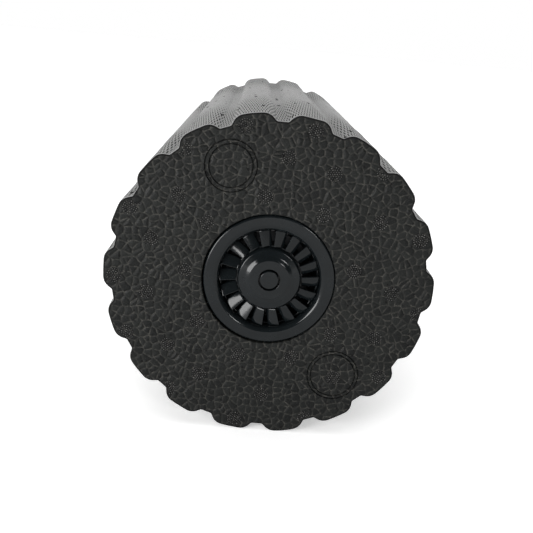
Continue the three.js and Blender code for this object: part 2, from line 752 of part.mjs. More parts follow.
function battery() {
  const pack = new THREE.Group();
  const cellEnd = CELL_START + CELL_LENGTH;
  pack.add(...circleOf(CELLS, CELL_CIRCLE, 90).map(cell));
  pack.add(cellHolder("front", CELL_START - HOLDER_BASE, CELL_START - GAP));
  pack.add(cellHolder("rear", cellEnd - HOLDER_REACH, cellEnd - HOLDER_REACH - 1));
  return pack;
}

// ---------------------------------------------------------------- leads

function lead(name, places, look) {
  const path = new THREE.CatmullRomCurve3(places.map((p) => new THREE.Vector3(...p)));
  const section = new THREE.Shape().absarc(0, 0, LEAD_RADIUS, 0, 2 * Math.PI);
  const settings = { steps: LEAD_STEPS, extrudePath: path, curveSegments: 3 };
  return part(name, new THREE.ExtrudeGeometry(section, settings), look);
}

// From a motor terminal along the top of the core, past the weight, and in to the control board.
function motorLead(degrees, index) {
  const start = -MOTOR_HALF_LENGTH - TERMINAL_REACH - GAP;
  const high = around(TERMINAL_RADIUS, degrees);
  const low = around(13, degrees);
  const route = [
    [high.x, start, high.y],
    [high.x, start - 25, high.y],
    [low.x, -BOARD_BACK + 28, low.y],
    [low.x, -BOARD_BACK + GAP, low.y],
  ];
  return lead("motor_lead_" + (index + 1), route, index === 1 ? RED_LEAD : BLACK_LEAD);
}

// From the front cell holder along the trough under the motor, then up to the control board.
function batteryLead(name, x, look) {
  const start = CELL_START - HOLDER_BASE - GAP;
  const route = [
    [x, start, BATTERY_LEAD_Z],
    [x, -BOARD_BACK / 3, BATTERY_LEAD_Z],
    [x, -BOARD_BACK + 20, BATTERY_LEAD_Z],
    [x, -BOARD_BACK + 6, -18.4],
    [x, -BOARD_BACK + GAP, -17],
  ];
  return lead(name, route, look);
}

// From the charging board to the rear cell holder.
function chargeLead(name, x, look) {
  const holderEnd = CELL_START + CELL_LENGTH + HOLDER_BASE;
  const route = [
    [x, BOARD_BACK - GAP, 0],
    [x, (BOARD_BACK + holderEnd) / 2, 1.5],
    [x, holderEnd + GAP, 3],
  ];
  return lead(name, route, look);
}

function leads() {
  return [
    ...TERMINAL_ANGLES.map(motorLead),
    batteryLead("battery_lead_positive", -1.2, RED_LEAD),
    batteryLead("battery_lead_negative", 1.2, BLACK_LEAD),
    chargeLead("charge_lead_positive", -4, RED_LEAD),
    chargeLead("charge_lead_negative", 4, BLACK_LEAD),
  ];
}

// ---------------------------------------------------------------- assembly

const roller = new THREE.Group();
roller.add(foamBody(), ...coreHalves(), ...coreScrews(), frontEnd(), rearEnd(), motor(), battery(), ...leads());
roller.position.z = AXIS_HEIGHT;

const model = new THREE.Group();
model.add(roller);

export default model;
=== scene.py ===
"""A vibrating foam roller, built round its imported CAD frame: meshes, materials, light, floor and camera.

Metres, +Z up. The roller's axis runs along Y and its front end, with the power button, faces -Y.
Pieces at an end are drawn in that end's own frame: the axis along Y, and Y as the depth below the
end face. END_FRAMES puts them at the front or at the rear. Angles are in degrees, round the axis from
+X towards +Z, as seen from the front. Patterns in the materials are sized in millimetres.
"""

import json
import math

import bmesh
import bpy
import numpy as np
from mathutils import Matrix, Vector, geometry, noise


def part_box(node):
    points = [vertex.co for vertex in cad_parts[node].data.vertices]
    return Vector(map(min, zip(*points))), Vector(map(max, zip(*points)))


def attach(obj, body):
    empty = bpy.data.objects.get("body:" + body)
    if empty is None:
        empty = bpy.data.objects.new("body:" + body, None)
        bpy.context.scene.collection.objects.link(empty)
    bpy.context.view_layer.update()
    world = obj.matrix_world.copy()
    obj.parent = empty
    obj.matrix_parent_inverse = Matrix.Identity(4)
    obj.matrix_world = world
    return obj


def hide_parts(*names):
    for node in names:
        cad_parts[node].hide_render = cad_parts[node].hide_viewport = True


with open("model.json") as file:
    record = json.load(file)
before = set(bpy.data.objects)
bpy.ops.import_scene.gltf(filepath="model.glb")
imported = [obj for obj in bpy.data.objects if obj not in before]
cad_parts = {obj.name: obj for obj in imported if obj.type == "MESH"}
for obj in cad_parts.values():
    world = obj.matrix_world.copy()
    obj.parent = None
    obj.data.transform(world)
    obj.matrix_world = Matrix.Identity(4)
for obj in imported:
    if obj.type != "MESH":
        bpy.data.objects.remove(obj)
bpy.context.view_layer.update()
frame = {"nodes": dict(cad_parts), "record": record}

MM = 0.001
FOAM_LOW, FOAM_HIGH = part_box("foam_body")
HALF_LENGTH = (FOAM_HIGH.y - FOAM_LOW.y) / 2
BODY_RADIUS = (FOAM_HIGH.x - FOAM_LOW.x) / 2
AXIS_HEIGHT = (FOAM_HIGH.z + FOAM_LOW.z) / 2
END_FRAMES = {"front": Matrix.Translation((0, -HALF_LENGTH, AXIS_HEIGHT))}
END_FRAMES["rear"] = Matrix.Rotation(math.pi, 4, "Z") @ END_FRAMES["front"]
MIDDLE_FRAME = Matrix.Translation((0, 0, AXIS_HEIGHT))

# ---------------------------------------------------------------- driving dimensions

# foam body
LOBES = 18
GROOVE_FLOOR_RADIUS = 71.3 * MM
SHOULDER_FILLET = 6 * MM
SHOULDER_ANGLE = 6.8  # from a groove's middle to where its shoulder meets the lobe
FLANK_ANGLE = 45
FOOT_FILLET = 1 * MM
EDGE_FILLET = 0.9 * MM
SHOULDER_STEPS = 10
FOOT_STEPS = 4
LOBE_STEPS = 3
EDGE_STEPS = 5
RIM_STEPS = 3  # how many of the edge's steps have the dark finish of the rim
SIDE_STEPS = 41
RECESS_RADIUS = 30.3 * MM
RECESS_DEPTH = 8.6 * MM
RECESS_FILLET = 0.5 * MM
BORE_RADIUS = 27.3 * MM
RECESS_SHIFT = -0.3 * MM  # the soft recess sits a little off the cap's axis

# slow unevenness of the moulded skin, with finer ripples on it
SWELL_HEIGHT = 0.22 * MM
SWELLS_PER_METRE = 45
SWELL_STRETCH = 0.6  # a swell is longer along the roller than across it
RIPPLES_PER_METRE = 140
RIPPLE_SHARE = 0.6
RIPPLE_OFFSET = Vector((7, 3, 5))

# marks of the mould in an end face
VENT_PITCH = 1.0 * MM
VENT_RINGS = 3
NUB_SEGMENTS = 6
NUB_RADIUS = 0.26 * MM
NUB_HEIGHT = 0.25 * MM
NUB_RISES = (0, 0.8, math.pi / 2)  # the steps of a nub's dome, as angles
MOAT_RADIUS = 0.45 * MM  # the dent round each nub
MOAT_DEPTH = 0.18 * MM
# each ring of steam vents: its radius, and the angle of each vent
VENTS = {
    38.5 * MM: (11, 56, 97, 140, 177, 215, 253, 290, 322),
    56 * MM: (-25, -2, 33, 64, 86, 140, 164, 190, 218, 239, 271, -53),
    70 * MM: (20, 49, 78, 103, 126, 156, 182.5, 205, 233, 261, 288.5, 322, 351),
}
# each ejector mark: the radius and the angle of its centre, and the radii of its two grooves
EJECTORS = ((54.6 * MM, 112.4, 11.5 * MM, 9.6 * MM), (54.9 * MM, -52.6, 11.8 * MM, 10.3 * MM))
EJECTOR_GROOVE_WIDTH = 0.65 * MM
EJECTOR_GROOVE_DEPTH = 0.6 * MM
# how far the middle of a nub keeps from the roller's axis, the outline, and the middle of a groove
RECESS_CLEARANCE = RECESS_RADIUS + 2 * RECESS_FILLET + MOAT_RADIUS
OUTLINE_CLEARANCE = EDGE_FILLET + 1.4 * MOAT_RADIUS
GROOVE_CLEARANCE = EJECTOR_GROOVE_WIDTH / 2 + 1.2 * MOAT_RADIUS

# patterns painted on the foam, in millimetres from the roller's middle
BEAD = 3.4
END_PLACE = HALF_LENGTH / MM
DENTS_ROUND = 392
DENT_PITCH = 1.2
DEEP_DENT_PITCH = 17
DEEP_DENTS_START = 0.15 * END_PLACE  # the deep dents grow from here
DEEP_DENTS_FULL = 0.8 * END_PLACE
EDGE_HIGHLIGHT_WIDTH = 1.3  # the width of the pale line painted along each end of the side, a painted highlight
GROOVE_BOTTOM = GROOVE_FLOOR_RADIUS / MM
GROOVE_TOP = BODY_RADIUS / MM - 0.7

# end caps: radii, and depths below the end face
CAP_FACE_DEPTH = 0.3 * MM
CAP_FLOOR_DEPTH = 11.5 * MM  # the upper side of the bezel's flange and of the vane ring's floor
CAP_BACK_DEPTH = 13.7 * MM  # the underside of both
FILLET = 0.3 * MM
FINE_FILLET = 0.2 * MM
BEZEL_RADIUS = 29.9 * MM
BEZEL_RIM_DEPTH = 8.3 * MM
BEZEL_NECK_RADIUS = 24 * MM
BEZEL_FLANGE_RADIUS = 20 * MM
BEZEL_OUTER_FILLET = 1.1 * MM
BEZEL_INNER_FILLET = 2.5 * MM
CAP_OPENING_RADIUS = 23 * MM
CAP_SCREWS = 3
CAP_SCREW_CIRCLE = 9.5 * MM
CAP_SCREW_HOLE_RADIUS = 1.5 * MM
CUT_MARGIN = 0.5 * MM  # how far a cutting tool stands out of what it cuts

# vane ring
VANES = 18
VANE_PHASE = 6.6
VANE_ROOT_RADIUS = 14.8 * MM
VANE_TIP_RADIUS = 22.85 * MM
VANE_ROOT_SPAN = 17.5
VANE_TIP_SPAN = 13
VANE_HIGH_DEPTH = 2.6 * MM
VANE_DROP = 2.3 * MM
VANE_CURL = 0.4  # the part of the drop that comes faster and faster
VANE_THICKNESS = 2.2 * MM
VANE_BEVEL = 0.42 * MM
VANE_SHARP_ANGLE = 50  # edges that turn by more than this are bevelled
VANE_RIM_INNER_RADIUS = 22 * MM
VANE_RIM_RADIUS = 22.7 * MM
VANE_RIM_TOP = 6.2 * MM
VANE_RIM_BOTTOM = 11.2 * MM
VANE_RIM_FILLET = 0.25 * MM
COLLAR_INNER_RADIUS = 13.3 * MM
COLLAR_RADIUS = 15.3 * MM
COLLAR_TOP = 4.6 * MM
COLLAR_BORE_RADIUS = 5.6 * MM
COLLAR_FLOOR_FILLET = 0.5 * MM

# hub: its stepped dome as corners with a radius, a depth and a fillet, and the skirt under it
HUB_RADIUS = 14.5 * MM
HUB_DOME = (
    (9.1 * MM, CAP_FACE_DEPTH, 2.2 * MM),
    (11.0 * MM, 1.2 * MM, 3 * MM),
    (13.9 * MM, 1.85 * MM, 0.9 * MM),
    (HUB_RADIUS, 3.0 * MM, 0.4 * MM),
)
HUB_LIP_DEPTH = 4.3 * MM
HUB_SKIRT_RADIUS = 13 * MM
HUB_SKIRT_INNER_RADIUS = 12.2 * MM
HUB_SKIRT_DEPTH = 11.2 * MM
HUB_CROWN_DEPTH = 3.6 * MM  # the underside of the dome's flat top
HUB_CROWN_FILLET = 0.5 * MM
BUTTON_BORE_RADIUS = 4.95 * MM
PLUG_BORE_RADIUS = 5.5 * MM

# power button
BUTTON_RADIUS = 4.2 * MM
BUTTON_FACE_DEPTH = 0.15 * MM
BUTTON_FACE_FILLET = 0.4 * MM
BUTTON_FLANGE_RADIUS = 6.4 * MM
BUTTON_FLANGE_TOP = 3.9 * MM
BUTTON_FLANGE_BOTTOM = 5.1 * MM
BUTTON_STEM_RADIUS = 2.5 * MM
BUTTON_STEM_END = 17.5 * MM

# charge port plug: a head with a shallow dish, and a hollow stem
PLUG_HEAD_RADIUS = 5.1 * MM
PLUG_HEAD_BOTTOM = 3.6 * MM
PLUG_HEAD_FILLET = 0.5 * MM
PLUG_LIP_RADIUS = 3.4 * MM
PLUG_DISH_RADIUS = 2.2 * MM
PLUG_DISH_DEPTH = 0.75 * MM
PLUG_DISH_FILLET = 1.2 * MM
PLUG_STEM_RADIUS = 2.6 * MM
PLUG_STEM_END = 8.5 * MM
PLUG_HOLLOW_RADIUS = 1.45 * MM
PLUG_HOLLOW_TOP = 3.9 * MM

# how finely round things are divided
ROUND_SEGMENTS = 160
BORE_SEGMENTS = 96
KNOB_SEGMENTS = 96
HOLE_SEGMENTS = 32

# ---------------------------------------------------------------- colours and finishes

DARK_BEAD = (0.0015, 0.002, 0.002, 1)
PALE_BEAD = (0.0055, 0.0062, 0.0058, 1)
DUSTY_BEAD = (0.02, 0.0195, 0.018, 1)
BEAD_SEAM = (0.038, 0.0365, 0.032, 1)
# the side's skin: the same black foam, painted pale as painted sheen, in a random mottle
DIM_SKIN_SHEEN = (0.05, 0.0515, 0.048, 1)
BRIGHT_SKIN_SHEEN = (0.082, 0.084, 0.079, 1)
# the nubs' colours: their own dark, and a pale painted glint
DARK_NUB = (0.008, 0.008, 0.008, 1)
NUB_GLINT = (0.105, 0.103, 0.097, 1)

# plastic and rubber: colour, roughness, grains to a millimetre, depth of the grain, specular level
MOULDED = {
    "gloss_trim": ((0.003, 0.004, 0.0045), 0.11, 1.4, 0.006 * MM, 0.175),
    "core_plastic": ((0.01, 0.011, 0.012), 0.6, 6.0, 0.02 * MM, 0.3),
    "black_plastic": ((0.014, 0.015, 0.017), 0.45, 6.0, 0.015 * MM, 0.5),
    "black_rubber": ((0.01, 0.01, 0.01), 0.65, 4.0, 0.02 * MM, 0.35),
    "circuit_board": ((0.012, 0.09, 0.04), 0.35, 3.0, 0.01 * MM, 0.5),
    "cell_wrap": ((0.02, 0.13, 0.33), 0.3, 1.0, 0.01 * MM, 0.5),
    "red_lead": ((0.35, 0.015, 0.012), 0.4, 2.0, 0.01 * MM, 0.5),
    "black_lead": ((0.012, 0.012, 0.012), 0.4, 2.0, 0.01 * MM, 0.5),
}
ROUND_AXIS = (0.4, 9.0, 0.4)  # scratches that run round the roller's axis
ALONG_AXIS = (6.0, 0.3, 6.0)
# metal: colour, roughness, and which way the scratches run
METALS = {
    "copper_winding": ((0.72, 0.28, 0.12), 0.35, ALONG_AXIS),
    "bright_steel": ((0.55, 0.56, 0.57), 0.28, ROUND_AXIS),
    "weight_steel": ((0.32, 0.33, 0.34), 0.4, ROUND_AXIS),
    "screw_steel": ((0.22, 0.22, 0.23), 0.35, ROUND_AXIS),
}

# ---------------------------------------------------------------- camera, light and floor

CAMERA_LENS = 54.95
CAMERA_DISTANCE = 0.3672  # to the middle of the front end face
CAMERA_AIM = (0.0032, -0.0172)  # how far the end face's middle lies right of and above the view's middle
CAMERA_AZIMUTH = -1.7335
CAMERA_ELEVATION = 15.65
CAMERA_ROLL = 4.9375
# each softbox: its place, its width and height, and its power in watts
SOFTBOXES = {
    "left_softbox": ((-0.82, -1.0, 0.27), (0.62, 0.5), 19),
    "right_softbox": ((0.54, -1.21, 0.42), (0.22, 0.24), 4),
}
CEILING_ANGLE = 70
CEILING_STRENGTH = 1.3
BACKDROP_STRENGTH = 1.7
BACKDROP_EDGE = (0.2, 0.8)  # how squarely behind the roller the backdrop begins, and is full
ROOM_STRENGTH = 0.1
HORIZON = (0.0, 0.1)
FLOOR_GLOW = 0.36  # the floor is a translucent sheet, lit a little from below
FLOOR_RINGS = 8
FLOOR_FIRST_RADIUS = 0.5
FLOOR_GROWTH = 1.6
FLOOR_SEGMENTS = 48

# ---------------------------------------------------------------- nodes of a material


def feed(tree, node, inputs):
    """Links the sockets, and sets the numbers and colours, on a node's inputs by name or by place."""
    for key, value in inputs.items():
        if isinstance(value, bpy.types.NodeSocket):
            tree.links.new(value, node.inputs[key])
        else:
            node.inputs[key].default_value = value


def add(tree, kind, inputs=None, **settings):
    """A new node with its settings and its inputs."""
    made = tree.nodes.new("ShaderNode" + kind)
    for name, value in settings.items():
        setattr(made, name, value)
    feed(tree, made, inputs or {})
    return made


def set_shader(tree, shader, **inputs):
    """Feeds the shader. An underscore stands for a space in a socket's name."""
    feed(tree, shader, {name.replace("_", " "): value for name, value in inputs.items()})


def calc(tree, operation, *values):
    return add(tree, "Math", dict(enumerate(values)), operation=operation).outputs[0]


def times(tree, first, *others):
    product = first
    for other in others:
        product = calc(tree, "MULTIPLY", product, other)
    return product


def wave(tree, value, turns):
    return calc(tree, "COSINE", times(tree, value, turns))


def remap(tree, value, low, high, to_low=0.0, to_high=1.0):
    """The value, eased from low to high onto another range."""
    inputs = {0: value, 1: low, 2: high, 3: to_low, 4: to_high}
    return add(tree, "MapRange", inputs, interpolation_type="SMOOTHSTEP").outputs[0]


def mix(tree, factor, first, second):
    return add(tree, "Mix", {0: factor, 6: first, 7: second}, data_type="RGBA").outputs[2]


def grey(value):
    return (value, value, value, 1)


def scaled(tree, place, scale):
    """The place with each of its three parts scaled."""
    return add(tree, "VectorMath", {0: place, 1: scale}, operation="MULTIPLY").outputs[0]


def split(tree, vector):
    return add(tree, "SeparateXYZ", {0: vector}).outputs


def noise_node(tree, place, scale, detail):
    return add(tree, "TexNoise", {"Vector": place, "Scale": scale, "Detail": detail})


def noise_of(tree, place, scale, detail=2.0):
    return noise_node(tree, place, scale, detail).outputs[0]


def cells(tree, place, size, feature="F1", dimensions="3D"):
    """A Voronoi pattern with cells of about that size."""
    inputs = {"Vector": place, "Scale": 1 / size}
    return add(tree, "TexVoronoi", inputs, feature=feature, voronoi_dimensions=dimensions)


def speckle(tree, place, spacing, size, dimensions="3D"):
    """1 in small scattered spots and 0 elsewhere. Only some cells of the pattern have a spot."""
    spots = cells(tree, place, spacing, dimensions=dimensions)
    chosen = split(tree, spots.outputs["Color"])[0]
    radius = times(tree, remap(tree, chosen, 0.45, 1.0), size / spacing)
    inside = calc(tree, "SUBTRACT", radius, spots.outputs["Distance"])
    return remap(tree, inside, 0.0, 0.02)


def bump(tree, height, distance, strength=1.0):
    inputs = {"Height": height, "Distance": distance, "Strength": strength}
    return add(tree, "Bump", inputs).outputs[0]


def place_in_mm(tree):
    """The place on the piece in millimetres, from the roller's axis."""
    object_place = add(tree, "TexCoord").outputs["Object"]
    moved = add(tree, "VectorMath", {0: object_place, 1: (0, 0, AXIS_HEIGHT)}, operation="SUBTRACT")
    return add(tree, "VectorMath", {0: moved.outputs[0], "Scale": 1 / MM}, operation="SCALE").outputs[0]


def paint(name, build):
    """A material whose node tree build(tree, shader, place) makes."""
    made = bpy.data.materials.new(name)
    made.use_nodes = True
    tree = made.node_tree
    tree.nodes.clear()
    shader = add(tree, "BsdfPrincipled")
    output = tree.nodes.new("ShaderNodeOutputMaterial")
    tree.links.new(shader.outputs[0], output.inputs["Surface"])
    build(tree, shader, place_in_mm(tree))
    return made


# ---------------------------------------------------------------- materials


def floor_paint():
    def build(tree, shader, place):
        mottle = noise_of(tree, place, scale=0.004)
        colour = mix(tree, mottle, grey(0.945), grey(0.965))
        set_shader(tree, shader, Base_Color=colour, Roughness=0.9, Specular_IOR_Level=0.1)
        set_shader(tree, shader, Emission_Color=grey(1.0), Emission_Strength=FLOOR_GLOW)

    return paint("studio_floor", build)


def flat_and_bent(tree, place):
    """The place in the plane of an end face, a little displaced so that the beads are uneven."""
    parts = split(tree, place)
    flat = add(tree, "CombineXYZ", {0: parts["X"], 1: parts["Z"]}).outputs[0]
    wander = noise_node(tree, place, scale=0.45, detail=1.0).outputs["Color"]
    bent = scaled(tree, wander, (0.7, 0.7, 0))
    return add(tree, "VectorMath", {0: flat, 1: bent}, operation="ADD").outputs[0]


def seam_lines(tree, place, seam_distance, fine):
    """1 on the seams between beads and 0 off them. They are ragged, and worn away in places."""
    ragged = calc(tree, "ADD", seam_distance, remap(tree, fine, 0.3, 0.7, -0.04, 0.06))
    seam = remap(tree, ragged, 0.0, 0.14, 1.0, 0.0)
    worn = remap(tree, noise_of(tree, place, scale=0.5, detail=4.0), 0.4, 0.68, 0.15, 1.0)
    return times(tree, seam, worn)


def bead_face_paint():
    """Moulded beads in an end face: dark cells with thin paler seams, a soft dome on each, and pits
    painted near black as painted shade.
    """

    def build(tree, shader, place):
        flat = flat_and_bent(tree, place)
        seam_distance = cells(tree, flat, BEAD, "DISTANCE_TO_EDGE", "2D").outputs["Distance"]
        own = split(tree, cells(tree, flat, BEAD, "F1", "2D").outputs["Color"])
        fine = noise_of(tree, place, scale=2.2, detail=3.0)
        pits = speckle(tree, flat, spacing=4.2, size=0.6, dimensions="2D")
        colour = mix(tree, own[0], DARK_BEAD, PALE_BEAD)
        colour = mix(tree, remap(tree, fine, 0.4, 0.75, 0.0, 0.4), colour, DUSTY_BEAD)
        colour = mix(tree, seam_lines(tree, place, seam_distance, fine), colour, BEAD_SEAM)
        # the pits are painted near black: painted shade in the hollows between beads
        colour = mix(tree, pits, colour, grey(0.002))
        dome = times(tree, remap(tree, seam_distance, 0.0, 0.35), calc(tree, "ADD", own[1], 0.5))
        height = calc(tree, "SUBTRACT", dome, times(tree, pits, 1.6))
        height = calc(tree, "ADD", height, times(tree, fine, 0.5))
        normal = bump(tree, height, distance=0.26 * MM)
        roughness = remap(tree, own[2], 0.0, 1.0, 0.42, 0.6)
        set_shader(tree, shader, Base_Color=colour, Roughness=roughness, Normal=normal)
        set_shader(tree, shader, Specular_IOR_Level=0.11)

    return paint("bead_foam_face", build)


def close_dents(tree, angle, along):
    """The square grid of small dents all over the side, from 0 to 1."""
    rows = times(tree, wave(tree, angle, DENTS_ROUND), wave(tree, along, 2 * math.pi / DENT_PITCH))
    return remap(tree, rows, 0.2, 0.8)


def deep_dents(tree, angle, along, uneven):
    """The longer and deeper dents, from 0 to 1, which the side's paint also darkens as painted shade."""
    steep = times(tree, wave(tree, along, 2 * math.pi / DEEP_DENT_PITCH), 2.5)
    square = add(tree, "Clamp", {0: steep, 1: -1.0}).outputs[0]
    rows = remap(tree, times(tree, wave(tree, angle, DENTS_ROUND), square), 0.15, 0.6)
    from_middle = calc(tree, "ABSOLUTE", along)
    near_end = remap(tree, from_middle, DEEP_DENTS_START, DEEP_DENTS_FULL, 0.1, 1.0)
    return times(tree, rows, uneven, near_end)


def side_skin(tree, place):
    """The side's skin, painted far paler than the end face's beads as painted sheen, mottled, with the
    seams of the beads showing faintly.
    """
    seam_distance = cells(tree, place, BEAD, "DISTANCE_TO_EDGE").outputs["Distance"]
    seam = remap(tree, seam_distance, 0.0, 0.08, 1.0, 0.0)
    skin = mix(tree, noise_of(tree, place, scale=0.16, detail=3.0), DIM_SKIN_SHEEN, BRIGHT_SKIN_SHEEN)
    return mix(tree, times(tree, seam, 0.4), skin, grey(0.02))


def groove_depth(tree, place):
    """0 on the lobes, and a little more down in the grooves."""
    across = scaled(tree, place, (1, 0, 1))
    from_axis = add(tree, "VectorMath", {0: across}, operation="LENGTH").outputs["Value"]
    return remap(tree, from_axis, GROOVE_BOTTOM, GROOVE_TOP, 0.16, 0.0)


def dotted_side_paint():
    """The round side: a skin painted pale as painted sheen, with a close square grid of small dents and
    scattered pits painted near black as painted shade.
    """

    def build(tree, shader, place):
        parts = split(tree, place)
        along = parts["Y"]
        angle = calc(tree, "ARCTAN2", parts["X"], parts["Z"])
        stretched = scaled(tree, place, (1, 0.3, 1))
        uneven = remap(tree, noise_of(tree, stretched, scale=0.7), 0.3, 0.6, 0.6, 1.0)
        pits = times(tree, speckle(tree, stretched, spacing=4.0, size=0.95), 0.85)
        small = calc(tree, "MAXIMUM", times(tree, close_dents(tree, angle, along), 0.4), pits)
        deep = deep_dents(tree, angle, along, uneven)
        edge = remap(tree, calc(tree, "ABSOLUTE", along), END_PLACE - EDGE_HIGHLIGHT_WIDTH, END_PLACE)
        off_edge_highlight = calc(tree, "SUBTRACT", 1.0, edge)
        dark = times(tree, calc(tree, "MAXIMUM", times(tree, deep, 0.35), small), off_edge_highlight)
        hollow = times(tree, calc(tree, "MAXIMUM", deep, small), off_edge_highlight)
        # the pale line along each end of the side is a painted highlight, grey 0.35 over the skin
        colour = mix(tree, edge, side_skin(tree, place), grey(0.35))
        # the dents and pits are painted near black, as painted shade in the hollows
        colour = mix(tree, dark, colour, grey(0.003))
        dull = calc(tree, "MAXIMUM", hollow, groove_depth(tree, place))
        roughness = remap(tree, dull, 0.0, 1.0, 0.43, 1.0)
        gloss = remap(tree, hollow, 0.0, 0.85, 0.46, 0.0)
        height = calc(tree, "SUBTRACT", 1.0, hollow)
        normal = bump(tree, height, distance=0.16 * MM, strength=0.8)
        set_shader(tree, shader, Base_Color=colour, Roughness=roughness, Specular_IOR_Level=gloss)
        set_shader(tree, shader, Normal=normal)

    return paint("bead_foam_side", build)


def nub_paint():
    """The tips that the steam vents leave: smoother than the beads, and painted paler as painted glints,
    some more than others.
    """

    def build(tree, shader, place):
        own = remap(tree, noise_of(tree, place, scale=0.8), 0.42, 0.7)
        set_shader(tree, shader, Base_Color=mix(tree, own, DARK_NUB, NUB_GLINT), Roughness=0.35)

    return paint("bead_foam_nubs", build)


def rim_paint():
    """The smooth dark skin on the rounded edge of an end face."""

    def build(tree, shader, place):
        mottle = noise_of(tree, place, scale=0.8, detail=3.0)
        colour = mix(tree, mottle, grey(0.003), grey(0.009))
        normal = bump(tree, mottle, distance=0.05 * MM)
        set_shader(tree, shader, Base_Color=colour, Normal=normal)
        set_shader(tree, shader, Roughness=0.8, Specular_IOR_Level=0.06)

    return paint("bead_foam_rim", build)


def moulded_paint(name, colour, roughness, grain, grain_depth, specular):
    """Moulded plastic or rubber: an even colour, faint smears in the gloss, and a fine moulded grain."""

    def build(tree, shader, place):
        smear = noise_of(tree, place, scale=0.11, detail=3.0)
        normal = bump(tree, noise_of(tree, place, grain), grain_depth)
        paler = tuple(c * 1.35 for c in colour)
        body = mix(tree, remap(tree, smear, 0.3, 0.75), (*colour, 1), (*paler, 1))
        gloss = remap(tree, smear, 0.25, 0.75, roughness * 0.85, roughness * 1.25)
        set_shader(tree, shader, Base_Color=body, Roughness=gloss, Normal=normal)
        set_shader(tree, shader, Specular_IOR_Level=specular)

    return paint(name, build)


def metal_paint(name, colour, roughness, drawn):
    """Machined or drawn metal, with stains and fine scratches."""

    def build(tree, shader, place):
        scratch = noise_of(tree, scaled(tree, place, drawn), scale=1.0, detail=4.0)
        stain = noise_of(tree, place, scale=0.12, detail=3.0)
        darker = tuple(c * 0.72 for c in colour)
        body = mix(tree, remap(tree, stain, 0.35, 0.8), (*colour, 1), (*darker, 1))
        gloss = remap(tree, scratch, 0.2, 0.8, roughness * 0.8, roughness * 1.3)
        normal = bump(tree, scratch, distance=0.01 * MM)
        set_shader(tree, shader, Base_Color=body, Roughness=gloss, Normal=normal)
        set_shader(tree, shader, Metallic=1.0)

    return paint(name, build)


def make_paints():
    """The material of each finish that the record names."""
    paints = {"bead_foam": bead_face_paint()}
    paints |= {name: moulded_paint(name, *values) for name, values in MOULDED.items()}
    paints |= {name: metal_paint(name, *values) for name, values in METALS.items()}
    return paints


# ---------------------------------------------------------------- meshes


def circle(radius, count, depth, centre=(0, 0)):
    """Points round the axis, or round a centre given by X and Z, at one depth."""
    angles = np.arange(count) * 2 * math.pi / count
    across = centre[0] + radius * np.cos(angles)
    up = centre[1] + radius * np.sin(angles)
    return np.column_stack([across, np.full(count, depth), up])


def polar(radius, degrees):
    """A point at an angle round the axis, as X and Z."""
    return Vector((radius * math.cos(math.radians(degrees)), radius * math.sin(math.radians(degrees))))


def strip(bm, first, second, slot=0, closed=True):
    """Faces between two rows of as many points each. A row whose points all meet makes a fan."""
    rows = [[bm.verts.new(p) for p in row] for row in (first, second)]
    count = len(rows[0])
    for i in range(count if closed else count - 1):
        j = (i + 1) % count
        face = bm.faces.new((rows[0][i], rows[0][j], rows[1][j], rows[1][i]))
        face.material_index = slot


def loft(bm, rows, slot=0, closed=True):
    for first, second in zip(rows, rows[1:]):
        strip(bm, first, second, slot, closed)


def rounded(corners, steps=5):
    """A closed outline from (x, y) or (x, y, fillet) corners. A corner with a fillet becomes an arc."""
    points = []
    count = len(corners)
    for i, corner in enumerate(corners):
        here = Vector(corner[:2])
        if len(corner) == 2:
            points.append(here)
            continue
        fillet = corner[2]
        back = (Vector(corners[i - 1][:2]) - here).normalized()
        ahead = (Vector(corners[(i + 1) % count][:2]) - here).normalized()
        half = back.angle(ahead) / 2
        centre = here + (back + ahead).normalized() * fillet / math.sin(half)
        start = here + back * fillet / math.tan(half) - centre
        end = here + ahead * fillet / math.tan(half) - centre
        sweep = math.atan2(start.cross(end), start.dot(end))
        points += [centre + Matrix.Rotation(sweep * k / steps, 2) @ start for k in range(steps + 1)]
    return points


def turned(bm, outline, segments=ROUND_SEGMENTS):
    """A ring or a bar turned round the axis from a closed outline of (radius, depth) points."""
    rows = [circle(p[0], segments, p[1]) for p in outline]
    loft(bm, rows + rows[:1])


def weld(bm):
    """Joins the points that meet, drops the faces that this flattens, and turns the rest outwards."""
    bmesh.ops.remove_doubles(bm, verts=bm.verts, dist=1e-6)
    flat = [f for f in bm.faces if f.calc_area() < 1e-14]
    bmesh.ops.delete(bm, geom=flat, context="FACES_ONLY")
    bmesh.ops.recalc_face_normals(bm, faces=bm.faces)


def finish_mesh(bm, name, *paints, crease=35, place=None):
    """Turns the bmesh into an object with smooth shading up to the crease angle."""
    weld(bm)
    if place is not None:
        bm.transform(place)
    mesh = bpy.data.meshes.new(name)
    bm.to_mesh(mesh)
    bm.free()
    mesh.shade_smooth()
    mesh.set_sharp_from_angle(angle=math.radians(crease))
    for made in paints:
        mesh.materials.append(made)
    piece = bpy.data.objects.new(name, mesh)
    bpy.context.scene.collection.objects.link(piece)
    return piece


def even_normals(piece):
    """Large flat faces keep their own normals beside small fillets."""
    weighted = piece.modifiers.new("even_normals", "WEIGHTED_NORMAL")
    weighted.keep_sharp = True


def combine(target, tool, operation):
    """Joins the tool to the target, or cuts it away, and removes it."""
    change = target.modifiers.new("combine", "BOOLEAN")
    change.operation = operation
    change.object = tool
    change.solver = "MANIFOLD"
    bpy.context.view_layer.update()
    done = target.evaluated_get(bpy.context.evaluated_depsgraph_get())
    mesh = bpy.data.meshes.new_from_object(done)
    target.modifiers.clear()
    old = target.data
    target.data = mesh
    bpy.data.meshes.remove(old)
    bpy.data.objects.remove(tool)


def place_piece(piece, body, slot, *nodes):
    """The piece rides on a body and stands for its CAD nodes. The slot is not used."""
    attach(piece, body)
    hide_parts(*nodes)


# ---------------------------------------------------------------- foam body

FACE, SIDE, NUB, RIM = range(4)  # the places of the foam body's finishes


